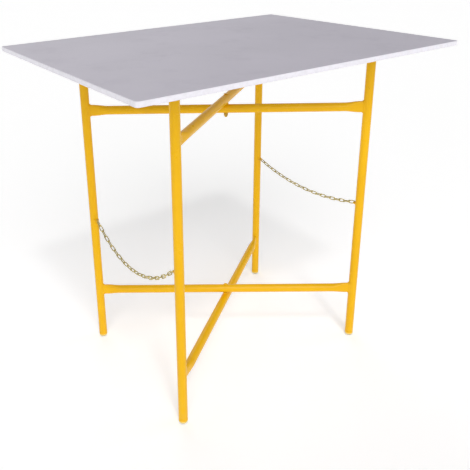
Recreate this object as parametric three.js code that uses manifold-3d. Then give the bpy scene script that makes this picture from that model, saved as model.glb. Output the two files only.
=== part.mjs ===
// A folding table: a rectangular board that lies on a scissor base of round steel tube.
//
// The base is two flat H frames, A and B, that cross in plan and turn about one upright axis, on a
// bolt through each pair of crossing rails. Two slack chains, one at each short side of the board,
// tie an upright of frame A to an upright of frame B and limit how far the base can open.
//
// Millimetres. +Z is up, the floor is z = 0, and the pivot axis of the base is the Z axis.
// The board's long sides run along X. -Y is the side that the table is seen from.

import * as THREE from 'three';
import { mergeVertices } from 'three/addons/utils/BufferGeometryUtils.js';
import Module from 'manifold-3d';

const wasm = await Module();
wasm.setup();

// ---------------------------------------------------------------- driving dimensions

const GAP = 0.3; // between pieces that touch

// board
const BOARD_LENGTH = 800;
const BOARD_WIDTH = 600;
const BOARD_THICKNESS = 10;
const BOARD_TOP = 758;
const BOARD_CORNER = 6;
const BOARD_BEVEL = 0.8;

// tube, the same for uprights and rails
const TUBE_RADIUS = 10;
const TUBE_WALL = 1.5;
const BORE_RADIUS = TUBE_RADIUS - TUBE_WALL;
const TUBE_SIDES = 28;

// frames
const FRAME_HALF_WIDTH = 320; // pivot axis to an upright's centre line
const HALF_OPENING = THREE.MathUtils.degToRad(35.65); // each frame's angle from the X axis
const RAIL_STEP = 2 * TUBE_RADIUS + 3.5; // height between the two rails of one crossing
const RAIL_A_UPPER = 610.5;
const RAIL_A_LOWER = 138;
const RAIL_B_UPPER = RAIL_A_UPPER + RAIL_STEP; // B lies over A at the top
const RAIL_B_LOWER = RAIL_A_LOWER - RAIL_STEP; // and under A at the bottom

// a rail's ends are pressed flat, upright, before they are welded
const FLAT_LENGTH = 6; // fully flat
const PRESS_LENGTH = 42; // end of the rail to where it is round again
const FLAT_HEIGHT = 26;
const FLAT_THICKNESS = 9.5;
const PRESS_STEPS = 7;
const WELD_LEG = 2.2;
const WELD_DEPTH = 2.8;

// plastic plugs in both ends of each upright
const FOOT_FLANGE = 10;
const FOOT_FLAT_RADIUS = 6;
const FOOT_STEM = 16;
const CAP_FLANGE = 4;
const CAP_STEM = 14;

// pivot bolts
const BOLT_RADIUS = 3;
const BOLT_HEAD_RADIUS = 5.5;
const BOLT_HEAD_HEIGHT = { upper: 1.6, lower: 3 };
const SPACER_RADIUS = 6;
const NUT_RADIUS = 5; // to a corner
const NUT_HEIGHT = { upper: 5.5, lower: 3.5 };
const NUT_DOME = { upper: 4.5, lower: 1 };

// chain and the eyes that hold it
const EYE_WIRE = 1.5;
const EYE_RADIUS = 4.5;
const EYE_REACH = 17; // upright's centre line to the eye's outermost wire centre
const EYE_START = 9.9;
const LINK_PITCH = 15.65;
const CHAIN_RADIUS = 2.5; // the plain run that stands for the links
const RUN_CLEARANCE = 1.3; // left free at each end of a run, for its hinge
const EYE_HEIGHT = { left: 338, right: 368, back: 376, front: 364 };

// How many links each stretch of a chain has, from the eye on frame A to the eye on frame B.
const LEFT_LINKS = { a_upper: 6, a_lower: 5, bottom: 1, b_lower: 6, b_upper: 6 };
const RIGHT_LINKS = { a_upper: 5, a_lower: 5, bottom: 1, b_lower: 5, b_upper: 6 };

// ---------------------------------------------------------------- materials

const FINISHES = {
  laminate: { color: 0xd9d6de, roughness: 0.45, metalness: 0 },
  yellow_paint: { color: 0xf0b414, roughness: 0.38, metalness: 0.1 },
  plug: { color: 0xb9a878, roughness: 0.6, metalness: 0 },
  painted_steel: { color: 0xe0a818, roughness: 0.42, metalness: 0.1 },
  chain: { color: 0xb4a46e, roughness: 0.4, metalness: 0.9 },
};

const table = new THREE.Group();
table.name = 'folding_table';

function addPart(name, geometry, finish) {
  geometry.computeVertexNormals();
  const mesh = new THREE.Mesh(geometry, new THREE.MeshStandardMaterial(FINISHES[finish]));
  mesh.name = name;
  table.add(mesh);
}

// ---------------------------------------------------------------- geometry helpers

// Position-only geometry with shared vertices, as the cutting library wants it.
function weld(geometry) {
  const bare = new THREE.BufferGeometry();
  bare.setAttribute('position', geometry.getAttribute('position').clone());
  if (geometry.index) {
    bare.setIndex(geometry.index.clone());
  }
  return mergeVertices(bare, 1e-4);
}

function toSolid(geometry) {
  const welded = weld(geometry);
  return new wasm.Manifold(new wasm.Mesh({
    numProp: 3,
    vertProperties: new Float32Array(welded.getAttribute('position').array),
    triVerts: new Uint32Array(welded.index.array),
  }));
}

function toGeometry(solid) {
  const mesh = solid.getMesh();
  const geometry = new THREE.BufferGeometry();
  geometry.setAttribute('position', new THREE.BufferAttribute(new Float32Array(mesh.vertProperties), 3));
  geometry.setIndex(new THREE.BufferAttribute(new Uint32Array(mesh.triVerts), 1));
  return geometry;
}

// Moves every vertex to where place(x, y, z) says.
function reshape(geometry, place) {
  const shaped = weld(geometry);
  const position = shaped.getAttribute('position');
  for (let i = 0; i < position.count; i += 1) {
    const point = place(position.getX(i), position.getY(i), position.getZ(i));
    position.setXYZ(i, point.x, point.y, point.z);
  }
  return shaped;
}

function ellipseShape(halfX, halfY, holeX, holeY) {
  const shape = new THREE.Shape();
  shape.absellipse(0, 0, halfX, halfY, 0, 2 * Math.PI, false, 0);
  if (holeX) {
    const hole = new THREE.Path();
    hole.absellipse(0, 0, holeX, holeY, 0, 2 * Math.PI, true, 0);
    shape.holes.push(hole);
  }
  return shape;
}

function extrude(shape, depth, steps, sides) {
  return new THREE.ExtrudeGeometry(shape, {
    depth, steps, bevelEnabled: false, curveSegments: sides / 2,
  });
}

// A solid of revolution about Z from [radius, height] points.
function turn(points, sides) {
  const profile = points.map(([radius, height]) => new THREE.Vector2(radius, height));
  return new THREE.LatheGeometry(profile, sides).rotateX(Math.PI / 2);
}

// A quarter arc of [radius, height] points, from one angle to another in degrees.
function arc(centreRadius, centreHeight, radiusX, radiusY, from, to, steps) {
  const points = [];
  for (let i = 0; i <= steps; i += 1) {
    const angle = THREE.MathUtils.degToRad(from + (to - from) * i / steps);
    points.push([centreRadius + radiusX * Math.cos(angle), centreHeight + radiusY * Math.sin(angle)]);
  }
  return points;
}

// ---------------------------------------------------------------- where things are

// Frame A runs from the left upright to the right one, frame B from the front to the back.
const ANGLE_A = -HALF_OPENING;
const ANGLE_B = HALF_OPENING;

function uprightCentre(angle, side) {
  return new THREE.Vector3(
    side * FRAME_HALF_WIDTH * Math.cos(angle),
    side * FRAME_HALF_WIDTH * Math.sin(angle),
    0,
  );
}

const UPRIGHTS = {
  left: uprightCentre(ANGLE_A, -1),
  right: uprightCentre(ANGLE_A, 1),
  front: uprightCentre(ANGLE_B, -1),
  back: uprightCentre(ANGLE_B, 1),
};

// ---------------------------------------------------------------- board

function makeBoard() {
  const x = BOARD_LENGTH / 2 - BOARD_BEVEL;
  const y = BOARD_WIDTH / 2 - BOARD_BEVEL;
  const r = BOARD_CORNER;
  const outline = new THREE.Shape();
  outline.moveTo(-x + r, -y);
  outline.lineTo(x - r, -y);
  outline.absarc(x - r, -y + r, r, -Math.PI / 2, 0, false);
  outline.lineTo(x, y - r);
  outline.absarc(x - r, y - r, r, 0, Math.PI / 2, false);
  outline.lineTo(-x + r, y);
  outline.absarc(-x + r, y - r, r, Math.PI / 2, Math.PI, false);
  outline.lineTo(-x, -y + r);
  outline.absarc(-x + r, -y + r, r, Math.PI, 1.5 * Math.PI, false);
  const board = new THREE.ExtrudeGeometry(outline, {
    depth: BOARD_THICKNESS - 2 * BOARD_BEVEL,
    bevelEnabled: true,
    bevelThickness: BOARD_BEVEL,
    bevelSize: BOARD_BEVEL,
    bevelSegments: 2,
    curveSegments: 6,
  });
  return board.translate(0, 0, BOARD_TOP - BOARD_THICKNESS + BOARD_BEVEL);
}

addPart('board', makeBoard(), 'laminate');

// ---------------------------------------------------------------- uprights and their plugs

const UPRIGHT_BOTTOM = FOOT_FLANGE + GAP;
const CAP_TOP = BOARD_TOP - BOARD_THICKNESS - GAP;
const UPRIGHT_TOP = CAP_TOP - CAP_FLANGE - GAP;

function makeUpright(centre) {
  const ring = ellipseShape(TUBE_RADIUS, TUBE_RADIUS, BORE_RADIUS, BORE_RADIUS);
  const tube = extrude(ring, UPRIGHT_TOP - UPRIGHT_BOTTOM, 1, TUBE_SIDES);
  return tube.translate(centre.x, centre.y, UPRIGHT_BOTTOM);
}

// The foot: a rounded shoe as wide as the tube, with a stem up its bore.
function makeFoot(centre) {
  const stem = BORE_RADIUS - GAP;
  const round = TUBE_RADIUS - FOOT_FLAT_RADIUS;
  const profile = [
    [0, 0],
    ...arc(FOOT_FLAT_RADIUS, round, round, round, -90, 0, 5),
    [TUBE_RADIUS, FOOT_FLANGE],
    [stem, FOOT_FLANGE],
    [stem, FOOT_FLANGE + FOOT_STEM],
    [0, FOOT_FLANGE + FOOT_STEM],
  ];
  return turn(profile, TUBE_SIDES).translate(centre.x, centre.y, 0);
}

// The cap that the board lies on.
function makeCap(centre) {
  const stem = BORE_RADIUS - GAP;
  const bottom = CAP_TOP - CAP_FLANGE;
  const profile = [
    [0, bottom - CAP_STEM],
    [stem, bottom - CAP_STEM],
    [stem, bottom],
    [TUBE_RADIUS, bottom],
    ...arc(TUBE_RADIUS - 1, CAP_TOP - 1, 1, 1, 0, 90, 3),
    [0, CAP_TOP],
  ];
  return turn(profile, TUBE_SIDES).translate(centre.x, centre.y, 0);
}

for (const [place, centre] of Object.entries(UPRIGHTS)) {
  addPart(`upright_${place}`, makeUpright(centre), 'yellow_paint');
  addPart(`foot_${place}`, makeFoot(centre), 'plug');
  addPart(`cap_${place}`, makeCap(centre), 'plug');
}

// ---------------------------------------------------------------- rails and their welds

const COPE_RADIUS = TUBE_RADIUS + GAP; // the hollow a rail's end is cut to, round its upright

// From a rail's own directions to the world: along it, across it and up.
function railPlace(angle, height, along, across, up) {
  return new THREE.Vector3(
    along * Math.cos(angle) - across * Math.sin(angle),
    along * Math.sin(angle) + across * Math.cos(angle),
    height + up,
  );
}

// How far an upright's surface, with its gap, stands off its centre line at this offset.
function standOff(across) {
  return Math.sqrt(COPE_RADIUS ** 2 - across ** 2);
}

// 1 where the rail is pressed flat, 0 where it is round.
function pressed(distance) {
  const t = THREE.MathUtils.clamp((PRESS_LENGTH - distance) / (PRESS_LENGTH - FLAT_LENGTH), 0, 1);
  return t * t * (3 - 2 * t);
}

function makeRail(angle, height) {
  const half = FRAME_HALF_WIDTH - COPE_RADIUS;
  const stations = [];
  for (let i = 0; i <= PRESS_STEPS; i += 1) {
    stations.push(PRESS_LENGTH * i / PRESS_STEPS - half);
  }
  stations.push(...stations.map((station) => -station).reverse());
  const outside = stations.map((station) => [TUBE_RADIUS, station]);
  const inside = stations.map((station) => [BORE_RADIUS, station]).reverse();
  const rail = reshape(turn([...outside, ...inside, outside[0]], TUBE_SIDES), (x, y, z) => {
    const distance = half - Math.abs(z);
    const flat = pressed(distance);
    const across = x * THREE.MathUtils.lerp(1, FLAT_THICKNESS / (2 * TUBE_RADIUS), flat);
    const up = y * THREE.MathUtils.lerp(1, FLAT_HEIGHT / (2 * TUBE_RADIUS), flat);
    const cope = (COPE_RADIUS - standOff(across)) * Math.max(0, 1 - distance / FLAT_LENGTH);
    return new THREE.Vector3(across, up, z + Math.sign(z) * cope);
  });
  const boltHole = turn([
    [0, -2 * TUBE_RADIUS],
    [BOLT_RADIUS + GAP, -2 * TUBE_RADIUS],
    [BOLT_RADIUS + GAP, 2 * TUBE_RADIUS],
    [0, 2 * TUBE_RADIUS],
  ], TUBE_SIDES).rotateX(-Math.PI / 2);
  const drilled = toGeometry(toSolid(rail).subtract(toSolid(boltHole)));
  return reshape(drilled, (x, y, z) => railPlace(angle, height, z, x, y));
}

// The bead of weld round one end of a rail, saddled to the upright. It is turned as a ring from
// radius 1 to 2, which becomes the bead's inner edge and its outer one.
function makeWeld(angle, height, end) {
  const holeX = FLAT_THICKNESS / 2 + GAP;
  const holeY = FLAT_HEIGHT / 2 + GAP;
  const section = [[1, 0], [1, 1], [1.3, 1], [1.6, 0.8], [1.9, 0.4], [2, 0], [1, 0]];
  return reshape(turn(section, TUBE_SIDES), (x, y, z) => {
    const radius = Math.hypot(x, y);
    const leg = WELD_LEG * (radius - 1);
    const across = x / radius * (holeX + leg);
    const up = y / radius * (holeY + leg);
    const along = FRAME_HALF_WIDTH - standOff(across) - WELD_DEPTH * z;
    // The bead is turned half round for the other end, so that its faces stay outward.
    return railPlace(angle, height, end * along, end * across, up);
  });
}

const RAILS = {
  a_upper: { angle: ANGLE_A, height: RAIL_A_UPPER, ends: ['left', 'right'] },
  a_lower: { angle: ANGLE_A, height: RAIL_A_LOWER, ends: ['left', 'right'] },
  b_upper: { angle: ANGLE_B, height: RAIL_B_UPPER, ends: ['front', 'back'] },
  b_lower: { angle: ANGLE_B, height: RAIL_B_LOWER, ends: ['front', 'back'] },
};

for (const [name, rail] of Object.entries(RAILS)) {
  addPart(`rail_${name}`, makeRail(rail.angle, rail.height), 'yellow_paint');
  addPart(`weld_${name}_${rail.ends[0]}`, makeWeld(rail.angle, rail.height, -1), 'yellow_paint');
  addPart(`weld_${name}_${rail.ends[1]}`, makeWeld(rail.angle, rail.height, 1), 'yellow_paint');
}

// ---------------------------------------------------------------- pivot bolts

// A low domed bolt down through both rails, a spacer between them and a cap nut below.
function addPivot(name, topRail, bottomRail) {
  const seat = topRail + TUBE_RADIUS + GAP;
  const nutTop = bottomRail - TUBE_RADIUS - GAP;
  const nutHeight = NUT_HEIGHT[name];
  const shankEnd = nutTop - nutHeight;
  addPart(`bolt_${name}`, turn([
    [0, shankEnd],
    [BOLT_RADIUS, shankEnd],
    [BOLT_RADIUS, seat],
    [BOLT_HEAD_RADIUS, seat],
    ...arc(0, seat + 1, BOLT_HEAD_RADIUS, BOLT_HEAD_HEIGHT[name] - 1, 0, 90, 5),
  ], 24), 'painted_steel');

  const bore = BOLT_RADIUS + GAP;
  addPart(`spacer_${name}`, turn([
    [bore, bottomRail + TUBE_RADIUS + GAP],
    [SPACER_RADIUS, bottomRail + TUBE_RADIUS + GAP],
    [SPACER_RADIUS, topRail - TUBE_RADIUS - GAP],
    [bore, topRail - TUBE_RADIUS - GAP],
    [bore, bottomRail + TUBE_RADIUS + GAP],
  ], 24), 'painted_steel');

  const hexagon = new THREE.Shape();
  for (let i = 0; i < 6; i += 1) {
    const angle = i * Math.PI / 3;
    const corner = [NUT_RADIUS * Math.cos(angle), NUT_RADIUS * Math.sin(angle)];
    if (i === 0) {
      hexagon.moveTo(...corner);
    } else {
      hexagon.lineTo(...corner);
    }
  }
  hexagon.closePath();
  const hex = extrude(hexagon, nutHeight, 1, 2).translate(0, 0, shankEnd);
  const domeRadius = NUT_RADIUS * Math.cos(Math.PI / 6);
  const dome = turn([
    ...arc(0, shankEnd, domeRadius, NUT_DOME[name], -90, 0, 6),
    [domeRadius, nutTop - 1],
    [0, nutTop - 1],
  ], 24);
  const hole = turn([
    [0, shankEnd - GAP],
    [bore, shankEnd - GAP],
    [bore, nutTop + 1],
    [0, nutTop + 1],
  ], 24);
  addPart(`nut_${name}`, toGeometry(toSolid(hex).add(toSolid(dome)).subtract(toSolid(hole))), 'painted_steel');
}

addPivot('upper', RAIL_B_UPPER, RAIL_A_UPPER);
addPivot('lower', RAIL_A_LOWER, RAIL_B_LOWER);

// ---------------------------------------------------------------- chains

// A round wire along a curve.
function wire(curve, radius, steps, sides) {
  return new THREE.ExtrudeGeometry(ellipseShape(radius, radius), {
    extrudePath: curve, steps, curveSegments: sides / 2, bevelEnabled: false,
  });
}

// The eye: a staple of wire, lying level, on the side of the upright that faces its partner.
function makeEye(centre, toward, height) {
  const bend = EYE_REACH - EYE_RADIUS;
  const point = (across, out) => new THREE.Vector3(
    centre.x + across, centre.y + toward * out, height,
  );
  const points = [point(-EYE_RADIUS, EYE_START), point(-EYE_RADIUS, bend)];
  const arcSteps = 8;
  for (let i = 1; i < arcSteps; i += 1) {
    const angle = Math.PI * i / arcSteps;
    points.push(point(-EYE_RADIUS * Math.cos(angle), bend + EYE_RADIUS * Math.sin(angle)));
  }
  points.push(point(EYE_RADIUS, bend), point(EYE_RADIUS, EYE_START));
  return wire(new THREE.CatmullRomCurve3(points, false, 'centripetal'), EYE_WIRE, 20, 10);
}

// A chain of this length hung between two points: its point at a distance along it from `from`.
function catenary(from, to, length) {
  const span = Math.hypot(to.x - from.x, to.y - from.y);
  const rise = to.z - from.z;
  const flatLength = Math.sqrt(length ** 2 - rise ** 2);
  let low = span / 50;
  let high = span * 50;
  for (let i = 0; i < 80; i += 1) {
    const middle = (low + high) / 2;
    if (2 * middle * Math.sinh(span / (2 * middle)) > flatLength) {
      low = middle;
    } else {
      high = middle;
    }
  }
  const c = (low + high) / 2;
  const lowest = span / 2 - c * Math.atanh(rise / length);
  return (distance) => {
    const t = lowest + c * Math.asinh(distance / c + Math.sinh(-lowest / c));
    const height = from.z + c * (Math.cosh((t - lowest) / c) - Math.cosh(lowest / c));
    return new THREE.Vector3(
      THREE.MathUtils.lerp(from.x, to.x, t / span),
      THREE.MathUtils.lerp(from.y, to.y, t / span),
      height,
    );
  };
}

class ChainRun extends THREE.Curve {
  constructor(hang, start, end) {
    super();
    this.hang = hang;
    this.start = start;
    this.end = end;
  }

  getPoint(t) {
    return this.hang(THREE.MathUtils.lerp(this.start, this.end, t));
  }
}

function addChain(name, onA, onB, links) {
  const toward = Math.sign(UPRIGHTS[onB].y - UPRIGHTS[onA].y);
  const eye = (place, direction) => new THREE.Vector3(
    UPRIGHTS[place].x, UPRIGHTS[place].y + direction * EYE_REACH, EYE_HEIGHT[place],
  );
  addPart(`eye_${onA}`, makeEye(UPRIGHTS[onA], toward, EYE_HEIGHT[onA]), 'painted_steel');
  addPart(`eye_${onB}`, makeEye(UPRIGHTS[onB], -toward, EYE_HEIGHT[onB]), 'painted_steel');

  const count = Object.values(links).reduce((sum, value) => sum + value, 0);
  const hang = catenary(eye(onA, toward), eye(onB, -toward), count * LINK_PITCH);
  let first = 0;
  for (const [stretch, number] of Object.entries(links)) {
    const atEye = EYE_WIRE + GAP;
    const start = first * LINK_PITCH + (stretch === 'a_upper' ? atEye : RUN_CLEARANCE);
    const end = (first + number) * LINK_PITCH - (stretch === 'b_upper' ? atEye : RUN_CLEARANCE);
    const steps = Math.max(2, 2 * number);
    const run = new ChainRun(hang, start, end);
    addPart(`chain_${name}_${stretch}`, wire(run, CHAIN_RADIUS, steps, 10), 'chain');
    first += number;
  }
}

addChain('left', 'left', 'front', LEFT_LINKS);
addChain('right', 'right', 'back', RIGHT_LINKS);

export default table;
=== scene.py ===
# %% [markdown]
# # A folding table
#
# A thin white board lies on a yellow base of round steel tube. The base is two flat H frames, A and B,
# that cross in plan and turn about one upright axis, on a bolt through each pair of crossing rails. Two
# slack chains tie an upright of frame A to an upright of frame B.
#
# The frame that this file loads already holds the table's solids, at their real size and in their real
# places. Here each of them gets its finished surface: smooth tube with pressed ends, rippled welds,
# turned plugs and bolts, real chain links and a laminate board. Every size is read off the frame or is
# a named value, in metres.

# %% Load the frame
import math

import bmesh
import bpy
import numpy as np
from mathutils import Matrix, Vector


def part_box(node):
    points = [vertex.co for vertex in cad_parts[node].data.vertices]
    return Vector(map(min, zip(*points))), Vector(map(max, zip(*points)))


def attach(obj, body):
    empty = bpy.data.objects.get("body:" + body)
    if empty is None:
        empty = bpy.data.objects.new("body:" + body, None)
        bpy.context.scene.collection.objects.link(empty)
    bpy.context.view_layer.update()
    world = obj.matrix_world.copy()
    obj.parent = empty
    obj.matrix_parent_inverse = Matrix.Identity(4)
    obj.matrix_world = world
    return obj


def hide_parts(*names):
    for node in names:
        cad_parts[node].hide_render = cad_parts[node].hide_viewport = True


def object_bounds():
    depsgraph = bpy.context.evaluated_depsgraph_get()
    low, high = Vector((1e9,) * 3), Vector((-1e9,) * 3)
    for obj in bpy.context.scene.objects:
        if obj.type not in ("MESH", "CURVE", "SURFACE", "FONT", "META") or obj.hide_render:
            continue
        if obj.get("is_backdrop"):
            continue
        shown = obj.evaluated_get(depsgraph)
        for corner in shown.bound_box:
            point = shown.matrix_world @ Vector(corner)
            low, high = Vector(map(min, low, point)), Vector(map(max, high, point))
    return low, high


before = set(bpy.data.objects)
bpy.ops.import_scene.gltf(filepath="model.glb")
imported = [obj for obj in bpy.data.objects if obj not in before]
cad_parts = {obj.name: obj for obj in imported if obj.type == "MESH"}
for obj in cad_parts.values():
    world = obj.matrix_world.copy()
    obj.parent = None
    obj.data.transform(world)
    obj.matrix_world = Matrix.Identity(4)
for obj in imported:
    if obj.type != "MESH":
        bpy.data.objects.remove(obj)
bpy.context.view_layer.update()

MM = 0.001

# %% [markdown]
# ## Camera, floor and light
#
# The table is seen from about one metre up, in front of its left corner, and the camera looks down at
# it. The lens is also shifted down a little, which takes over a part of that tilt, so that the uprights
# draw together less towards the floor.
#
# The floor is a plain pale sheet with a slight glow of its own, which keeps the shadows on it soft. The
# room is bright low down, like a pale wall, and dim overhead. Four far lamps shape the tubes: a wide
# soft key from the front left, a weak one from the right, one from behind, and a narrow one from high
# in front that draws a streak of light on the rails. Colours are shown with the Standard transform,
# because the default one turns a strong yellow pale.

# %% Camera
CAMERA_PLACE = Vector((-0.825, -1.057, 0.992))
CAMERA_HEADING = math.radians(-34.2)
CAMERA_DIP = math.radians(-20.2)
CAMERA_ROLL = math.radians(1.2)
CAMERA_LENS = 46.8
SENSOR_WIDTH = 36
CAMERA_SHIFT = (0.10, -0.17)


def place_camera():
    """The camera looks along the heading (clockwise from +Y is negative), dipped below the horizon."""
    data = bpy.data.cameras.new("camera")
    data.lens = CAMERA_LENS
    data.sensor_width = SENSOR_WIDTH
    data.shift_x, data.shift_y = CAMERA_SHIFT
    camera = bpy.data.objects.new("camera", data)
    camera.matrix_world = (
        Matrix.Translation(CAMERA_PLACE)
        @ Matrix.Rotation(CAMERA_HEADING, 4, "Z")
        @ Matrix.Rotation(math.pi / 2 + CAMERA_DIP, 4, "X")
        @ Matrix.Rotation(-CAMERA_ROLL, 4, "Z")
    )
    bpy.context.collection.objects.link(camera)
    bpy.context.scene.camera = camera
    return camera


print("camera at", tuple(round(value, 3) for value in place_camera().location), "m")

# %% Floor
FLOOR_HALF = 45.0
FLOOR_GLOW = 0.27
FLOOR_WHITE = 0.95
FLOOR_ROUGHNESS = 0.9
FLOOR_GLOSS = 0.1


def lay_floor():
    """One square sheet at z = 0, far wider than the table, so that no edge of it is ever in view."""
    corners = [(x * FLOOR_HALF, y * FLOOR_HALF, 0) for x, y in ((-1, -1), (1, -1), (1, 1), (-1, 1))]
    mesh = bpy.data.meshes.new("floor")
    mesh.from_pydata(corners, [], [(0, 1, 2, 3)])
    floor = bpy.data.objects.new("floor", mesh)
    bpy.context.collection.objects.link(floor)
    material = bpy.data.materials.new("pale_floor")
    material.use_nodes = True
    shader = material.node_tree.nodes["Principled BSDF"]
    shader.inputs["Base Color"].default_value = (FLOOR_WHITE, FLOOR_WHITE, FLOOR_WHITE, 1)
    shader.inputs["Roughness"].default_value = FLOOR_ROUGHNESS
    shader.inputs["Specular IOR Level"].default_value = FLOOR_GLOSS
    shader.inputs["Emission Color"].default_value = (1, 1, 1, 1)
    shader.inputs["Emission Strength"].default_value = FLOOR_GLOW
    mesh.materials.append(material)
    floor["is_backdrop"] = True
    return floor


print("floor:", 2 * FLOOR_HALF, "m square,", lay_floor().data.materials[0].name)

# %% Light
SKY_STRENGTH = 0.20
WALL_STRENGTH = 0.70
WALL_TOP = (math.radians(15), math.radians(30))
LAMPS = {
    # name: heading it shines from (0 = the front, 90 = the right), height, power, softness
    "key_lamp": (-30, 36, 1.42, 44),
    "side_lamp": (70, 30, 0.22, 24),
    "back_lamp": (160, 40, 0.48, 40),
    "streak_lamp": (-20, 58, 0.34, 6),
}


def hang_lamp(name, heading, height, power, softness):
    """A far lamp that shines down on the table. Heading, height and softness are in degrees."""
    data = bpy.data.lights.new(name, "SUN")
    data.energy = power
    data.angle = math.radians(softness)
    lamp = bpy.data.objects.new(name, data)
    turn, dip = math.radians(heading), math.radians(height)
    aim = Vector((-math.sin(turn) * math.cos(dip), math.cos(turn) * math.cos(dip), -math.sin(dip)))
    lamp.rotation_mode = "QUATERNION"
    lamp.rotation_quaternion = aim.to_track_quat("-Z", "Y")
    bpy.context.collection.objects.link(lamp)


def light_the_room():
    """A white room whose light fades smoothly with height, and one lamp for each row above."""
    world = bpy.data.worlds.new("studio")
    world.use_nodes = True
    nodes, links = world.node_tree.nodes, world.node_tree.links
    split = nodes.new("ShaderNodeSeparateXYZ")
    fade = nodes.new("ShaderNodeMapRange")
    fade.interpolation_type = "SMOOTHSTEP"
    fade.inputs["From Min"].default_value = math.sin(WALL_TOP[0])
    fade.inputs["From Max"].default_value = math.sin(WALL_TOP[1])
    fade.inputs["To Min"].default_value = WALL_STRENGTH
    fade.inputs["To Max"].default_value = SKY_STRENGTH
    links.new(nodes.new("ShaderNodeTexCoord").outputs["Generated"], split.inputs[0])
    links.new(split.outputs["Z"], fade.inputs["Value"])
    links.new(fade.outputs[0], nodes["Background"].inputs["Strength"])
    nodes["Background"].inputs["Color"].default_value = (1, 1, 1, 1)
    bpy.context.scene.world = world
    bpy.context.scene.view_settings.view_transform = "Standard"
    for name, values in LAMPS.items():
        hang_lamp(name, *values)
    print("lamps:", *LAMPS)


light_the_room()

# %% [markdown]
# ## Reading the frame
#
# A box round a solid gives back the sizes it was made with: an upright's width is the tube's diameter,
# a rail's height is that of its pressed ends, and the middle of an upright's box is its centre line.
# What a box doesn't tell, such as the wall of the tube, is a named value.

# %% Sizes off the frame
SIDES_A = ("left", "right")
SIDES_B = ("front", "back")


def box(node):
    """Lowest and highest corners of a solid, as arrays."""
    low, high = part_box(node)
    return np.array(low), np.array(high)


def centre_line(place):
    """Plan position of an upright's centre line."""
    low, high = box(f"upright_{place}")
    return (low + high)[:2] / 2


UPRIGHT_LOW, UPRIGHT_HIGH = box("upright_left")
TUBE_RADIUS = (UPRIGHT_HIGH - UPRIGHT_LOW)[0] / 2
TUBE_WALL = 1.5 * MM
FRAME_HALF_WIDTH = np.hypot(*centre_line("left"))
FLAT_HEIGHT = (box("rail_a_upper")[1] - box("rail_a_upper")[0])[2]
FLAT_THICKNESS = 9.5 * MM
FLAT_LENGTH = 6 * MM
PRESS_LENGTH = 42 * MM
print("tube", round(2 * TUBE_RADIUS / MM, 1), "mm, pressed to", round(FLAT_HEIGHT / MM, 1), "mm high")

# %% [markdown]
# ## Surfaces from grids
#
# Every piece of this table is a surface with two parameters: along the piece and round it. Worked out as
# whole arrays, such a grid is one line of numpy for each wall, and its quads are four shifted copies of
# one table of indices. Where a row shrinks to a point, at a pole, its points are merged afterwards.


# %% Skins and pieces
def skin(points, round_it=True, join_ends=False):
    """Points [i, j] and quads between neighbours. round_it closes j on itself, join_ends closes i."""
    rows, columns = points.shape[:2]
    index = np.arange(rows * columns).reshape(rows, columns)
    if round_it:
        index = np.hstack([index, index[:, :1]])
    if join_ends:
        index = np.vstack([index, index[:1]])
    corners = (index[:-1, :-1], index[:-1, 1:], index[1:, 1:], index[1:, :-1])
    return points.reshape(-1, 3), np.stack(corners, -1).reshape(-1, 4)


def make_piece(name, skins, finish, body, *nodes, crease=38):
    """One object from one or more closed skins. It rides on the body and stands for the nodes."""
    points, quads, count = [], [], 0
    for skin_points, skin_quads in skins:
        points.append(skin_points)
        quads.append(skin_quads + count)
        count += len(skin_points)
    mesh = bpy.data.meshes.new(name)
    mesh.from_pydata(np.vstack(points).tolist(), [], np.vstack(quads).tolist())
    work = bmesh.new()
    work.from_mesh(mesh)
    bmesh.ops.remove_doubles(work, verts=work.verts, dist=1e-7)
    bmesh.ops.recalc_face_normals(work, faces=work.faces)
    work.to_mesh(mesh)
    work.free()
    mesh.polygons.foreach_set("use_smooth", np.ones(len(mesh.polygons), dtype=bool))
    mesh.set_sharp_from_angle(angle=math.radians(crease))
    mesh.materials.append(finish)
    piece = bpy.data.objects.new(name, mesh)
    bpy.context.collection.objects.link(piece)
    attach(piece, body)
    if nodes:
        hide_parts(*nodes)
    return piece


def turned(profile, centre=(0, 0), sides=48):
    """A profile of [radius, height] rows, turned about the upright line through centre.

    x and y are the radius times the cosine and the sine of the angle, and z is the height."""
    profile = np.array(profile, dtype=float)
    angle = np.linspace(0, 2 * math.pi, sides, endpoint=False)
    points = np.empty((len(profile), sides, 3))
    points[..., 0] = centre[0] + profile[:, :1] * np.cos(angle)
    points[..., 1] = centre[1] + profile[:, :1] * np.sin(angle)
    points[..., 2] = profile[:, 1:2]
    return points


def arc(centre, radius, start, end, steps):
    """[radius, height] rows on an ellipse's arc, angles in degrees from the +radius direction.

    Each row is the centre plus the two radii times the cosine and the sine of its angle."""
    angle = np.radians(np.linspace(start, end, steps + 1))
    return np.stack([centre[0] + radius[0] * np.cos(angle), centre[1] + radius[1] * np.sin(angle)], 1)


def swept(path, across, section, closed=False):
    """A section of [across, third] rows carried along a path of points.

    The section's first direction is the given one, made square to the path, and its second is the
    cross product of the two."""
    ahead = np.roll(path, -1, 0) - np.roll(path, 1, 0) if closed else np.gradient(path, axis=0)
    ahead /= np.linalg.norm(ahead, axis=1, keepdims=True)
    first = across - np.sum(across * ahead, 1, keepdims=True) * ahead
    first /= np.linalg.norm(first, axis=1, keepdims=True)
    second = np.cross(ahead, first)
    return (
        path[:, None]
        + section[None, :, :1] * first[:, None]
        + section[None, :, 1:] * second[:, None]
    )


def ring(radius, sides):
    """A circle of [across, third] rows: the radius times the cosine and the sine of the angle."""
    angle = np.linspace(0, 2 * math.pi, sides, endpoint=False)
    return radius * np.stack([np.cos(angle), np.sin(angle)], 1)


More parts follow.
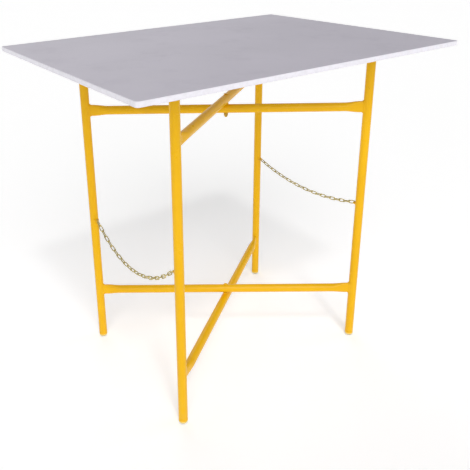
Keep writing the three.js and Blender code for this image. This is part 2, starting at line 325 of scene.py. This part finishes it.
# %% [markdown]
# ## Writing shaders as sums
#
# A finish is easier to read as arithmetic than as a net of nodes. This small class holds one output of a
# node tree. Adding, multiplying or subtracting it adds the Math node that does so, and its one other
# method adds any node by its type, with its settings first and then the values of its sockets.


# %% A value in a node tree
class Shade:
    """One output in a material's node tree."""

    def __init__(self, tree, socket=None):
        self.tree = tree
        self.socket = socket

    def node(self, kind, settings=None, sockets=None, output=0):
        """Adds a node, sets it up, fills or links its sockets and gives back one of its outputs."""
        made = self.tree.nodes.new(kind)
        for name, value in (settings or {}).items():
            setattr(made, name, value)
        for name, value in (sockets or {}).items():
            if isinstance(value, Shade):
                self.tree.links.new(value.socket, made.inputs[name])
            else:
                made.inputs[name].default_value = value
        return Shade(self.tree, made.outputs[output])

    def math(self, operation, first, second=0.0):
        """A Math node on two values, of which either may be a plain number."""
        return self.node("ShaderNodeMath", {"operation": operation}, {0: first, 1: second})

    def __add__(self, other):
        return self.math("ADD", self, other)

    def __mul__(self, other):
        return self.math("MULTIPLY", self, other)

    def __sub__(self, other):
        return self.math("SUBTRACT", self, other)

    def __rsub__(self, other):
        return self.math("SUBTRACT", other, self)

    __radd__ = __add__
    __rmul__ = __mul__

    def between(self, low, high):
        """0 where the value is below low, 1 above high, smooth between."""
        return self.node(
            "ShaderNodeMapRange",
            {"interpolation_type": "SMOOTHSTEP"},
            {"Value": self, "From Min": low, "From Max": high},
        )

    def tint(self, first, second):
        """The first colour where the value is 0, the second where it is 1."""
        return self.node(
            "ShaderNodeMix", {"data_type": "RGBA"}, {0: self, 6: first, 7: second}, output=2
        )


def noise(at, scale, detail=3.0, roughness=0.55):
    """Cloudy noise between about 0.25 and 0.75, with this many bumps to a metre."""
    return at.node(
        "ShaderNodeTexNoise",
        None,
        {"Vector": at, "Scale": scale, "Detail": detail, "Roughness": roughness},
    )


def colour(red, green, blue):
    """A solid colour as the four numbers that a colour socket takes."""
    return (red, green, blue, 1)


def new_finish(name):
    """A material, the place of a point on its piece (Object coordinates) and its shader node."""
    material = bpy.data.materials.new(name)
    material.use_nodes = True
    tree = material.node_tree
    at = Shade(tree).node("ShaderNodeTexCoord", output="Object")
    return material, at, tree.nodes["Principled BSDF"]


def wire_up(shader, values):
    """Sets or links the shader's own sockets."""
    for name, value in values.items():
        if isinstance(value, Shade):
            value.tree.links.new(value.socket, shader.inputs[name])
        else:
            shader.inputs[name].default_value = value


def bump(height, distance):
    """A normal that follows the height, which stands for this distance."""
    return height.node(
        "ShaderNodeBump", None, {"Height": height, "Distance": distance, "Strength": 1.0}
    )


def coordinate(at, axis):
    """One coordinate of a place, by the name of its axis."""
    return at.node("ShaderNodeSeparateXYZ", None, {"Vector": at}, output=axis)


# %% [markdown]
# ## Finishes
#
# The tube is powder coated: a thick, even, slightly orange yellow with the faint pebble that powder
# leaves as it flows, glossy enough for one soft streak of light down each tube. Cloudy patches are a
# little duller, as if rubbed, a few pin-point chips show dark primer, and dust gathers near the floor.
# The same paint on the eyes, bolts and spacers is partly worn through to steel, and on the nuts more so.


# %% Yellow powder coat
YELLOW = colour(0.86, 0.475, 0.002)
YELLOW_DEEP = colour(0.80, 0.42, 0.001)
YELLOW_PALE = colour(0.90, 0.54, 0.008)
PRIMER = colour(0.10, 0.075, 0.04)
BARE_STEEL = colour(0.26, 0.20, 0.075)
DUST = colour(0.62, 0.42, 0.12)
DUST_HEIGHT = 90 * MM
PEBBLE_HEIGHT = 0.10 * MM


def make_powder_coat(name, wear):
    """Yellow powder coat. wear is how much of the paint is rubbed through, from 0 to 1."""
    material, at, shader = new_finish(name)
    cloud = noise(at, 7.0).between(0.35, 0.65)
    streak = noise(at, 42.0, 4.0).between(0.4, 0.7)
    pebble = noise(at, 620.0, 2.0)
    rubbed = noise(at, 23.0, 5.0, 0.7).between(0.56, 0.70)
    chip = noise(at, 190.0, 2.0, 0.6).between(0.755, 0.77) * noise(at, 11.0).between(0.5, 0.62)
    bare = noise(at, 330.0, 4.0, 0.6).between(0.62 - wear * 0.3, 0.72 - wear * 0.2)
    low = 1 - coordinate(at, "Z").between(0.0, DUST_HEIGHT)
    dust = low * noise(at, 90.0, 4.0).between(0.4, 0.75)
    tone = (cloud * 0.55).tint(YELLOW, YELLOW_DEEP)
    tone = (streak * 0.18).tint(tone, YELLOW_PALE)
    tone = (dust * 0.16).tint(tone, DUST)
    tone = (bare * wear).tint(tone, BARE_STEEL)
    tone = (chip * 0.8).tint(tone, PRIMER)
    wire_up(shader, {
        "Base Color": tone,
        "Roughness": 0.27 + rubbed * 0.12 + cloud * 0.04 + dust * 0.14 + chip * 0.25,
        "Normal": bump(pebble + chip * -0.8 + streak * 0.25, PEBBLE_HEIGHT),
        "Specular IOR Level": 0.22,
    })
    return material


POWDER_COAT = make_powder_coat("yellow_powder_coat", 0.0)
PAINTED_STEEL = make_powder_coat("yellow_paint_on_steel", 0.35)
WORN_PAINT = make_powder_coat("worn_yellow_paint", 0.75)

# %% [markdown]
# The board is a white laminate. Its top has a very fine cloth-like grain, faint clouding and a few short
# hairline scratches from use, and its cut edges are painted paler than its faces: partly a cleaner white,
# and partly a painted highlight where the light catches the small rounding.

# %% White laminate
LAMINATE = colour(0.555, 0.525, 0.605)
LAMINATE_SHADE = colour(0.525, 0.500, 0.570)
EDGE_WHITE_AND_HIGHLIGHT = colour(0.83, 0.81, 0.87)
SMUDGE = colour(0.46, 0.44, 0.50)
SCRATCH = colour(0.66, 0.64, 0.70)
WORN_EDGE = colour(0.70, 0.69, 0.72)
EDGE_WEAR_WIDTH = 3.5 * MM
GRAIN_HEIGHT = 0.04 * MM
SCRATCH_TURN = math.radians(24)
SCRATCH_SCALE = (12, 260, 12)
BOARD_LOW, BOARD_HIGH = box("board")


def make_laminate():
    """White laminate: the faces and the cut edges are told apart by which way the surface faces."""
    material, at, shader = new_finish("white_laminate")
    x, y = coordinate(at, "X"), coordinate(at, "Y")
    facing = at.node("ShaderNodeTexCoord", output="Normal")
    level = coordinate(facing, "Z")
    on_face = (level * level).between(0.25, 0.8)
    cloud = noise(at, 3.2, 4.0).between(0.36, 0.64)
    grain = noise(at, 1500.0, 2.0)
    stretch = at.node(
        "ShaderNodeMapping", None,
        {"Vector": at, "Rotation": (0, 0, SCRATCH_TURN), "Scale": SCRATCH_SCALE},
    )
    scratch = noise(stretch, 1.0, 3.0, 0.6).between(0.70, 0.74) * noise(at, 5.0).between(0.52, 0.6)
    smudge = noise(at, 14.0, 5.0, 0.65).between(0.5, 0.72)
    away = x.math("MINIMUM",
                  BOARD_HIGH[0] - x.math("ABSOLUTE", x), BOARD_HIGH[1] - y.math("ABSOLUTE", y))
    edge_wear = (1 - away.between(0.0, EDGE_WEAR_WIDTH)) * noise(at, 120.0, 4.0).between(0.42, 0.62)
    face = (cloud * 0.6).tint(LAMINATE, LAMINATE_SHADE)
    face = (smudge * 0.12).tint(face, SMUDGE)
    face = (scratch * 0.3).tint(face, SCRATCH)
    # The cut edges are painted paler: a cleaner white, and a painted highlight where light catches the
    # rounding.
    tone = on_face.tint(EDGE_WHITE_AND_HIGHLIGHT, face)
    tone = (edge_wear * 0.35).tint(tone, WORN_EDGE)
    wire_up(shader, {
        "Base Color": tone,
        "Roughness": 0.40 + smudge * 0.10 + cloud * 0.04 + scratch * 0.15,
        "Normal": bump(grain * 0.6 + scratch * -1.2 + edge_wear * 0.5, GRAIN_HEIGHT),
        "Specular IOR Level": 0.35,
    })
    return material


WHITE_LAMINATE = make_laminate()

# %% [markdown]
# The plugs in the ends of the uprights are moulded in a yellow plastic a little paler and flatter than
# the paint. A pale band just above the sole is a painted highlight on the rounded shoulder, and below
# a lower height the sole is darker in noisy patches. Both borders waver a little, because noise is added
# to the height first.

# %% Moulded plugs
PLUG_YELLOW = colour(0.88, 0.50, 0.012)
PLUG_YELLOW_DEEP = colour(0.80, 0.43, 0.010)
PLUG_HIGHLIGHT = colour(0.86, 0.74, 0.33)
PLUG_SOLE_DARK = colour(0.05, 0.045, 0.03)
HIGHLIGHT_BORDER = (5.6 * MM, 7.2 * MM)
DARK_SOLE_BORDER = (2.4 * MM, 3.4 * MM)
BORDER_WAVER = 1.2 * MM
MOULD_GRAIN_HEIGHT = 0.08 * MM


def make_plug_plastic():
    """Yellow plastic with a painted highlight below one height above the floor, and darker patches below
    a lower one.
    """
    material, at, shader = new_finish("yellow_plug_plastic")
    cloud = noise(at, 60.0, 4.0).between(0.35, 0.65)
    height = coordinate(at, "Z") + noise(at, 300.0, 3.0) * BORDER_WAVER
    # Painted highlight: a pale band below this height, where the rounded shoulder catches the light.
    pale = (1 - height.between(*HIGHLIGHT_BORDER)) * 0.85
    # Darker in noisy patches below a lower height, at the sole.
    dark_sole = (1 - height.between(*DARK_SOLE_BORDER)) * noise(at, 520.0, 4.0).between(0.22, 0.42)
    grain = noise(at, 900.0, 2.0)
    tone = (cloud * 0.4).tint(PLUG_YELLOW, PLUG_YELLOW_DEEP)
    tone = pale.tint(tone, PLUG_HIGHLIGHT)
    tone = (dark_sole * 0.95).tint(tone, PLUG_SOLE_DARK)
    wire_up(shader, {
        "Base Color": tone,
        "Roughness": 0.48 + dark_sole * 0.3 + cloud * 0.05,
        "Normal": bump(grain + dark_sole * 1.5, MOULD_GRAIN_HEIGHT),
        "Specular IOR Level": 0.3,
    })
    return material


PLUG_PLASTIC = make_plug_plastic()

# %% [markdown]
# The chain is steel with a yellow zinc plating, brassy and uneven. Two tones cloud into each other, and
# patches of tarnish are darker, rougher and less metallic.

# %% Plated steel
PLATING_BRIGHT = colour(0.68, 0.57, 0.24)
PLATING_DULL = colour(0.50, 0.43, 0.19)
TARNISH = colour(0.20, 0.16, 0.07)
PIT_DEPTH = 0.05 * MM


def make_plating():
    """Yellow zinc over steel: two tones that cloud into each other, with fine pits."""
    material, at, shader = new_finish("chain_plating")
    cloud = noise(at, 85.0, 4.0, 0.65).between(0.36, 0.64)
    tarnish = noise(at, 260.0, 5.0, 0.7).between(0.54, 0.70)
    pits = noise(at, 2400.0, 2.0)
    tone = cloud.tint(PLATING_BRIGHT, PLATING_DULL)
    tone = (tarnish * 0.6).tint(tone, TARNISH)
    wire_up(shader, {
        "Base Color": tone,
        "Roughness": 0.34 + tarnish * 0.22 + cloud * 0.08,
        "Metallic": 1.0 - tarnish * 0.35,
        "Normal": bump(pits + tarnish * -0.6, PIT_DEPTH),
    })
    return material


CHAIN_PLATING = make_plating()
print("finishes:", [m.name for m in bpy.data.materials])

# %% [markdown]
# ## Board
#
# The board is a rounded rectangle with a small rounding all round both faces. Its outline is one closed
# curve; each level of the edge is that outline drawn in a little, and the two faces are filled by
# drawing it in to a point.

# %% Board
BOARD_CORNER = 6.8 * MM
BOARD_ROUNDING = 0.8 * MM
FACE_BORDER = 6 * MM


def rounded_outline(half_length, half_width, corner, steps=8):
    """Points round a rectangle whose corners are quarter circles of this radius, anticlockwise."""
    turn = np.radians(np.linspace(0, 90, steps + 1))
    outline = []
    for quarter, (sx, sy) in enumerate(((1, 1), (-1, 1), (-1, -1), (1, -1))):
        angle = turn + quarter * math.pi / 2
        outline.append(np.stack([
            sx * (half_length - corner) + corner * np.cos(angle),
            sy * (half_width - corner) + corner * np.sin(angle),
        ], 1))
    return np.vstack(outline)


def make_board():
    """Rows of outline from the middle of the underside, round the edge, to the middle of the top.

    Over the rounding a row rises by the sine of its angle and is drawn in by one less the cosine."""
    half = BOARD_HIGH - (BOARD_LOW + BOARD_HIGH) / 2
    bend = np.radians(np.linspace(0, 90, 5))
    drawn_in = BOARD_ROUNDING * (1 - np.cos(bend))
    rise = BOARD_ROUNDING * np.sin(bend)
    top = [(BOARD_HIGH[2] - BOARD_ROUNDING + r, d) for r, d in zip(rise, drawn_in)]
    levels = [(BOARD_LOW[2] + BOARD_HIGH[2] - height, d) for height, d in reversed(top)] + top
    rows = []
    for height, inward in levels:
        outline = rounded_outline(half[0] - inward, half[1] - inward, BOARD_CORNER - inward)
        rows.append(np.column_stack([outline, np.full(len(outline), height)]))
    for side in (0, -1):
        inner = rows[side].copy()
        inner[:, :2] *= 1 - FACE_BORDER / half[:2]
        middle = rows[side].copy()
        middle[:, :2] = 0
        rows = [middle, inner] + rows if side == 0 else rows + [inner, middle]
    return make_piece("tabletop", [skin(np.array(rows))], WHITE_LAMINATE, "tabletop", "board", crease=50)


tabletop = make_board()
print("board:", len(tabletop.data.polygons), "faces")

# %% [markdown]
# ## Uprights and plugs
#
# An upright is a plain length of tube, open at both ends until its plugs are driven in: one wall out,
# one wall in, and a slightly broken edge between them. The foot is a rounded shoe as wide as the tube,
# and the cap a low button with the board on it. Both are turned shapes, so a profile says everything.

# %% Uprights, feet and caps
EDGE_BREAK = 0.35 * MM
PLUG_FIT = 0.3 * MM
FOOT_FLAT_RADIUS = 6.0 * MM
FOOT_RIM = 0.4 * MM
CAP_RIM = 1.0 * MM
CAP_EDGE = 0.3 * MM


def tube_profile(low, high, outer, inner):
    """The closed outline of a tube's wall, up the outside and down the inside, its edges broken."""
    heights = np.linspace(low + EDGE_BREAK, high - EDGE_BREAK, 9)
    outside = [[outer, height] for height in heights]
    inside = [[inner, height] for height in heights[::-1]]
    rim_out, rim_in = outer - EDGE_BREAK, inner + EDGE_BREAK
    return [[rim_out, low], *outside, [rim_out, high], [rim_in, high], *inside, [rim_in, low]]


def foot_profile(top, stem_top):
    """A sole with a flat middle, a rounded shoulder up to the tube's width, and a stem."""
    shoulder = TUBE_RADIUS - FOOT_FLAT_RADIUS
    stem = TUBE_RADIUS - TUBE_WALL - PLUG_FIT
    return np.vstack([
        [[0, 0], [FOOT_FLAT_RADIUS * 0.6, 0]],
        arc((FOOT_FLAT_RADIUS, shoulder), (shoulder, shoulder), -90, 0, 8),
        [[TUBE_RADIUS, top - FOOT_RIM]],
        arc((TUBE_RADIUS - FOOT_RIM, top - FOOT_RIM), (FOOT_RIM, FOOT_RIM), 0, 90, 3),
        [[stem, top], [stem, stem_top], [0, stem_top]],
    ])


def cap_profile(low, top, stem_low):
    """A stem under a low button with a rounded rim."""
    stem = TUBE_RADIUS - TUBE_WALL - PLUG_FIT
    return np.vstack([
        [[0, stem_low], [stem, stem_low], [stem, low], [TUBE_RADIUS - CAP_EDGE, low]],
        arc((TUBE_RADIUS - CAP_EDGE, low + CAP_EDGE), (CAP_EDGE, CAP_EDGE), -90, 0, 2),
        arc((TUBE_RADIUS - CAP_RIM, top - CAP_RIM), (CAP_RIM, CAP_RIM), 0, 90, 5),
        [[TUBE_RADIUS * 0.5, top], [0, top]],
    ])


def make_upright(place, body):
    """One upright of this body with its foot and its cap."""
    centre = centre_line(place)
    low, high = UPRIGHT_LOW[2], UPRIGHT_HIGH[2]
    wall = tube_profile(low, high, TUBE_RADIUS, TUBE_RADIUS - TUBE_WALL)
    make_piece(f"tube_{place}", [skin(turned(wall, centre), join_ends=True)],
               POWDER_COAT, body, f"upright_{place}")
    foot = foot_profile(low - PLUG_FIT, box(f"foot_{place}")[1][2])
    make_piece(f"shoe_{place}", [skin(turned(foot, centre))], PLUG_PLASTIC, body, f"foot_{place}")
    cap_low, cap_high = box(f"cap_{place}")
    cap = cap_profile(high + PLUG_FIT, cap_high[2], cap_low[2])
    make_piece(f"button_{place}", [skin(turned(cap, centre))], PLUG_PLASTIC, body, f"cap_{place}")


for place in SIDES_A:
    make_upright(place, "frame_a")
for place in SIDES_B:
    make_upright(place, "frame_b")
print("uprights at", [tuple(np.round(centre_line(p), 3)) for p in SIDES_A + SIDES_B])

# %% [markdown]
# ## Rails with pressed ends
#
# A rail is the same tube. Its last few centimetres are pressed in a vice, so that the end is a tall
# narrow slot that sits against the round of the upright. A section is a circle where the rail is round
# and a squarer oval where it is pressed, and a smooth step blends one into the other along the rail.


# %% The pressed section
SQUARENESS = 0.9


def smooth_step(value):
    """Three times the square less twice the cube of the value, which is held between 0 and 1."""
    value = np.clip(value, 0, 1)
    return value * value * (3 - 2 * value)


def pressed(distance):
    """1 at the flat end of a rail, 0 where it is round, by distance from its end."""
    return smooth_step((PRESS_LENGTH - distance) / (PRESS_LENGTH - FLAT_LENGTH))


def rail_section(angle, flat, grow=0.0, wall=0.0):
    """Across and up of a section: an oval, grown outwards or thinned by a wall.

    Each is half the width or height times the cosine or sine, raised to a power of 1 where the rail is
    round and below 1 where it is flat, which makes the oval squarer."""
    half_across = TUBE_RADIUS + (FLAT_THICKNESS / 2 - TUBE_RADIUS) * flat + grow - wall
    half_up = TUBE_RADIUS + (FLAT_HEIGHT / 2 - TUBE_RADIUS) * flat + grow - wall
    power = 2 / (2 + SQUARENESS * flat)
    across = half_across * np.sign(np.cos(angle)) * np.abs(np.cos(angle)) ** power
    up = half_up * np.sign(np.sin(angle)) * np.abs(np.sin(angle)) ** power
    return across, up


def rail_frame(node):
    """Direction of a rail in plan, the direction across it, and its height."""
    start = centre_line("left" if "_a_" in node else "front")
    along = -start / np.linalg.norm(start)
    across = np.array([-along[1], along[0]])
    low, high = box(node)
    return along, across, (low + high)[2] / 2


def on_rail(node, along, across, up):
    """World points from distances along a rail (0 at the pivot), across it and up."""
    ahead, aside, height = rail_frame(node)
    plan = along[..., None] * ahead + across[..., None] * aside
    return np.concatenate([plan, (height + up)[..., None]], -1)


# %% Rails
RAIL_SIDES = 56
RAIL_SEAT = TUBE_RADIUS + 0.3 * MM


def make_rail(node, body):
    """Two walls of pressed section along the rail, whose ends are hollowed to fit the uprights."""
    half = FRAME_HALF_WIDTH - RAIL_SEAT
    ends = np.linspace(0, PRESS_LENGTH, 15)
    middle = np.linspace(PRESS_LENGTH, 2 * half - PRESS_LENGTH, 17)[1:-1]
    place = np.concatenate([ends, middle, 2 * half - ends[::-1]])
    angle = np.linspace(0, 2 * math.pi, RAIL_SIDES, endpoint=False)[None]
    distance = np.minimum(place, 2 * half - place)[:, None]
    walls = []
    for wall in (0.0, TUBE_WALL):
        across, up = rail_section(angle, pressed(distance), wall=wall)
        hollow = RAIL_SEAT - np.sqrt(RAIL_SEAT ** 2 - across ** 2)
        fit = hollow * np.clip(1 - distance / FLAT_LENGTH, 0, 1)
        along = (place[:, None] - half) + np.sign(place[:, None] - half) * fit
        walls.append(on_rail(node, along, across, up))
    points = np.concatenate([walls[0], walls[1][::-1]])
    make_piece(node.replace("rail", "crossbar"), [skin(points, join_ends=True)],
               POWDER_COAT, body, node)


for level in ("upper", "lower"):
    make_rail(f"rail_a_{level}", "frame_a")
    make_rail(f"rail_b_{level}", "frame_b")
print("rails:", round(2 * (FRAME_HALF_WIDTH - RAIL_SEAT), 4), "m from seat to seat")

# %% [markdown]
# ## Welds
#
# Each rail end is welded to its upright all round. A weld bead is a fillet in the corner between the
# two, laid as a row of overlapping drops, so its size ripples as it goes round. Painted over, it shows
# as a soft swelling with fine ridges. The bead is a ring whose section is a quarter of a rounded
# fillet, saddled to the upright.

# %% Weld beads
BEAD_LEG = 2.2 * MM
BEAD_DEPTH = 2.7 * MM
BEAD_SINK = 0.35 * MM
BEAD_OVERLAP = 0.05 * MM
BEAD_FULLNESS = 1.15
BEAD_SIDES = 182
DROPS = 26
RNG = np.random.default_rng(7)


def make_weld(node, end, place, body):
    """A fillet round the rail's end: out from the rail by one leg, back along it by the other.

    Its size is a level plus one ripple for each drop and two slow waves round the ring."""
    half = FRAME_HALF_WIDTH
    angle = np.linspace(0, 2 * math.pi, BEAD_SIDES, endpoint=False)
    ripple = np.abs(np.sin(angle * DROPS / 2 + RNG.uniform(0, 3))) ** 0.6
    wander = 0.10 * np.sin(3 * angle + RNG.uniform(0, 6))
    wander = wander + 0.06 * np.sin(7 * angle + RNG.uniform(0, 6))
    size = (0.84 + 0.14 * ripple + wander)[None]
    turn = np.radians(np.linspace(0, 90, 7))[:, None]
    sunk = np.full_like(size, -BEAD_SINK)
    out = np.vstack([BEAD_LEG * np.cos(turn) ** BEAD_FULLNESS * size, sunk, sunk])
    back = np.vstack([
        BEAD_DEPTH * np.sin(turn) ** BEAD_FULLNESS * size, BEAD_DEPTH * 0.9 * size, np.zeros_like(size)
    ])
    across, up = rail_section(angle[None], 1.0, grow=out)
    reach = np.minimum(np.abs(across), RAIL_SEAT * 0.98)
    seat = np.sqrt((TUBE_RADIUS - BEAD_OVERLAP) ** 2 - np.minimum(reach, TUBE_RADIUS * 0.97) ** 2)
    along = end * (half - seat - back)
    points = on_rail(node, along, across, up)
    make_piece(f"bead_{node[5:]}_{place}", [skin(points, join_ends=True)], POWDER_COAT, body,
               f"weld_{node[5:]}_{place}", crease=60)


for level in ("upper", "lower"):
    for letter, sides, body in (("a", SIDES_A, "frame_a"), ("b", SIDES_B, "frame_b")):
        for end, place in zip((-1, 1), sides):
            make_weld(f"rail_{letter}_{level}", end, place, body)

# %% [markdown]
# ## Pivot bolts
#
# A low domed bolt goes down through both rails of a crossing, with a spacer ring between them so that
# the paint doesn't rub, and a nut closes its lower end: a domed cap nut at the upper crossing, a thin
# one at the lower. A hexagon turned with a chamfer is the smaller of two radii: that of the turned
# profile, and that of the flat side at each angle.

# %% Bolts, spacers and nuts
BOLT_RADIUS = 3 * MM
RAIL_GAP = 0.3 * MM
SHANK_CHAMFER = 0.5 * MM
HEAD_RIM = 0.8 * MM
RING_EDGE = 0.3 * MM
NUT_CHAMFER = (0.9 * MM, 0.7 * MM)
NUT_HEIGHT = {"upper": 5.5 * MM, "lower": 3.5 * MM}


def hexagonal(points, flat):
    """Draws in every point that stands outside a hexagon about Z with this distance to its flats."""
    angle = np.arctan2(points[..., 1], points[..., 0])
    sector = (angle + math.pi / 6) % (math.pi / 3) - math.pi / 6
    radius = np.linalg.norm(points[..., :2], axis=-1)
    keep = np.minimum(1, flat / np.cos(sector) / np.maximum(radius, 1e-9))
    points[..., :2] *= keep[..., None]
    return points


def make_bolt(level, seat):
    """A shank with a chamfered end under a domed head that rests on the seat."""
    low, high = box(f"bolt_{level}")
    head, end = (high - low)[0] / 2, low[2]
    profile = np.vstack([
        [[0, end], [BOLT_RADIUS - SHANK_CHAMFER, end], [BOLT_RADIUS, end + SHANK_CHAMFER],
         [BOLT_RADIUS, seat], [head - RING_EDGE, seat]],
        arc((0, seat + HEAD_RIM), (head, high[2] - seat - HEAD_RIM), 0, 90, 12),
    ])
    make_piece(f"pivot_bolt_{level}", [skin(turned(profile))],
               PAINTED_STEEL, "frame_a", f"bolt_{level}")


def make_spacer(level):
    """A flat ring with broken edges."""
    low, high = box(f"spacer_{level}")
    outer, inner = (high - low)[0] / 2, BOLT_RADIUS + RAIL_GAP
    profile = [
        [inner, low[2]], [outer - RING_EDGE, low[2]], [outer, low[2] + RING_EDGE],
        [outer, high[2] - RING_EDGE], [outer - RING_EDGE, high[2]], [inner, high[2]],
    ]
    make_piece(f"pivot_spacer_{level}", [skin(turned(profile), join_ends=True)],
               PAINTED_STEEL, "frame_a", f"spacer_{level}")


def make_nut(level):
    """A hexagon with chamfered corners over a dome, bored from the top for the bolt."""
    low, high = box(f"nut_{level}")
    corner = (high - low)[0] / 2
    flat = corner * math.cos(math.pi / 6)
    bore = BOLT_RADIUS + RAIL_GAP
    shoulder = high[2] - NUT_HEIGHT[level]
    profile = np.vstack([
        arc((0, shoulder), (flat * 0.93, shoulder - low[2]), -90, -8, 10),
        [[flat * 0.98, shoulder], [corner, shoulder + NUT_CHAMFER[0]], [corner, high[2] - NUT_CHAMFER[1]],
         [flat * 1.02, high[2]], [bore, high[2]],
         [bore, shoulder - RAIL_GAP], [0, shoulder - RAIL_GAP]],
    ])
    points = hexagonal(turned(profile, sides=72), flat)
    make_piece(f"pivot_nut_{level}", [skin(points)], WORN_PAINT, "frame_a", f"nut_{level}", crease=25)


for level, top_rail in (("upper", "rail_b_upper"), ("lower", "rail_a_lower")):
    low, high = box(top_rail)
    make_bolt(level, (low + high)[2] / 2 + TUBE_RADIUS + RAIL_GAP)
    make_spacer(level)
    make_nut(level)
    print(f"{level} pivot: head rests at {(low + high)[2] / 2 + TUBE_RADIUS + RAIL_GAP:.4f} m")

# %% [markdown]
# ## Chain eyes
#
# The chains hang from small staples of wire, welded level to the uprights at about mid height and
# painted with them. The wire goes straight out, round a half circle and back, and a drop of weld holds
# each of its two feet. Each drop is a ball, drawn out to three different sizes. The paint is worn here.

# %% Eyes
EYE_WIRE = 1.5 * MM
EYE_RADIUS = 4.5 * MM
WIRE_SIDES = 14
WIRE_SUNK = 0.9 * MM
DROP_SIZE = np.array([2.6, 1.7, 2.9]) * MM
DROP_OUT = 0.35 * MM


def eye_place(place):
    """The middle of the eye's outermost wire, and which way along Y the eye points."""
    low, high = box(f"eye_{place}")
    middle = (low + high) / 2
    way = np.sign(middle[1] - centre_line(place)[1])
    tip = high[1] if way > 0 else low[1]
    return np.array([middle[0], tip - way * EYE_WIRE, middle[2]]), way


def make_eye(place, body):
    """Wire swept straight out of the upright, round a half circle and back, and its two drops."""
    tip, way = eye_place(place)
    bend = tip[1] - way * EYE_RADIUS
    foot = centre_line(place)[1] + way * (TUBE_RADIUS - WIRE_SUNK)
    angle = np.linspace(0, math.pi, 25)
    across = np.concatenate([[-EYE_RADIUS] * 5, -EYE_RADIUS * np.cos(angle), [EYE_RADIUS] * 5])
    straight = np.linspace(foot, bend, 6)[:-1]
    out = np.concatenate([straight, bend + way * EYE_RADIUS * np.sin(angle), straight[::-1]])
    path = np.stack([tip[0] + across, out, np.full_like(out, tip[2])], 1)
    wire = swept(path, np.array([0.0, 0.0, 1.0]), ring(EYE_WIRE, WIRE_SIDES))
    wire = np.concatenate([path[:1, None].repeat(WIRE_SIDES, 1), wire,
                           path[-1:, None].repeat(WIRE_SIDES, 1)])
    skins = [skin(wire)]
    for side in (-1, 1):
        drop = turned(arc((0, 0), (1, 1), -90, 90, 12), sides=24)
        middle = np.array([tip[0] + side * EYE_RADIUS, foot + way * DROP_OUT, tip[2]])
        skins.append(skin(drop * DROP_SIZE + middle))
    make_piece(f"chain_eye_{place}", skins, PAINTED_STEEL, body, f"eye_{place}", crease=60)


for place in SIDES_A:
    make_eye(place, "frame_a")
for place in SIDES_B:
    make_eye(place, "frame_b")
print("eyes at", [round(float(eye_place(p)[0][2]), 3) for p in SIDES_A + SIDES_B], "m")

# %% [markdown]
# ## Chains
#
# A slack chain hangs in a catenary, whose height is a hyperbolic cosine of the distance along it. The
# links lie on it end to end, each a closed oval of round wire, and each turned a quarter turn from its
# neighbour, so that one shows its face and the next its edge. A chain is cut into five runs, because
# each run swings on its own as the base folds; the first and the last link are a little longer, to
# reach round the wire of the eye.

# %% The hanging curve
LINK_PITCH = 15.65 * MM
LINK_WIRE = 1.2 * MM
LINK_BEND = 3.4 * MM
END_STRETCH = 1.5 * MM
RUNS = {
    "left": {"a_upper": 6, "a_lower": 5, "bottom": 1, "b_lower": 6, "b_upper": 6},
    "right": {"a_upper": 5, "a_lower": 5, "bottom": 1, "b_lower": 5, "b_upper": 6},
}


def catenary(start, end, length):
    """A chain of this length between two points: gives its points at distances along it.

    The sag parameter c solves 2 c sinh(span / 2 c) = sqrt(length^2 - rise^2), found by halving."""
    span, rise = np.hypot(*(end - start)[:2]), (end - start)[2]
    flat_length = math.sqrt(length ** 2 - rise ** 2)
    low, high = span / 50, span * 50
    for _ in range(80):
        c = (low + high) / 2
        if 2 * c * math.sinh(span / (2 * c)) > flat_length:
            low = c
        else:
            high = c
    lowest = span / 2 - c * math.atanh(rise / length)

    def at(distance):
        """Points at these distances: the height is c times the hyperbolic cosine of the run over c."""
        run = lowest + c * np.arcsinh(distance / c + math.sinh(-lowest / c))
        plan = start[:2] + (run / span)[:, None] * (end - start)[:2]
        height = start[2] + c * (np.cosh((run - lowest) / c) - math.cosh(lowest / c))
        return np.column_stack([plan, height])

    return at


# %% Links
def link(start, end, quarter, stretch_start=0.0, stretch_end=0.0):
    """An oval of wire from one joint to the next, turned by quarter turns about its length.

    Its path is a circle whose two halves are drawn apart along the link to reach both joints."""
    ahead = end - start
    ahead /= np.linalg.norm(ahead)
    level = np.array([1.0, 0.0, 0.0])
    aside = level if quarter % 2 else np.cross(ahead, level)
    face = np.cross(ahead, aside)
    far = np.linalg.norm(end - start) / 2 + LINK_WIRE
    angle = np.linspace(0, 2 * math.pi, 24, endpoint=False)
    along = LINK_BEND * np.cos(angle)
    along += np.where(
        np.cos(angle) >= 0, far - LINK_BEND + stretch_end, LINK_BEND - far - stretch_start
    )
    path = (start + end) / 2 + along[:, None] * ahead + (LINK_BEND * np.sin(angle))[:, None] * aside
    return skin(swept(path, face, ring(LINK_WIRE, 9), closed=True), join_ends=True)


def hang_chain(name, on_a, on_b):
    """A chain between the eyes of two uprights, as one piece for each of its runs."""
    runs = RUNS[name]
    count = sum(runs.values())
    (tip_a, _), (tip_b, _) = eye_place(on_a), eye_place(on_b)
    joints = catenary(tip_a, tip_b, count * LINK_PITCH)(np.arange(count + 1) * LINK_PITCH)
    first = 0
    for run, number in runs.items():
        links = [
            link(joints[i], joints[i + 1], i,
                 stretch_start=END_STRETCH if i == 0 else 0.0,
                 stretch_end=END_STRETCH if i == count - 1 else 0.0)
            for i in range(first, first + number)
        ]
        node = f"chain_{name}_{run}"
        make_piece(f"links_{name}_{run}", links, CHAIN_PLATING, node, node, crease=60)
        first += number
    print(f"{name} chain: {count} links, lowest point {joints[:, 2].min():.3f} m")


hang_chain("left", "left", "front")
hang_chain("right", "right", "back")

# %% [markdown]
# ## Finish
#
# The box round the finished table is printed at the end.

# %% Write the sizes
low, high = (list(corner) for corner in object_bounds())
print("finished model, metres:", np.round(low, 3), np.round(high, 3))
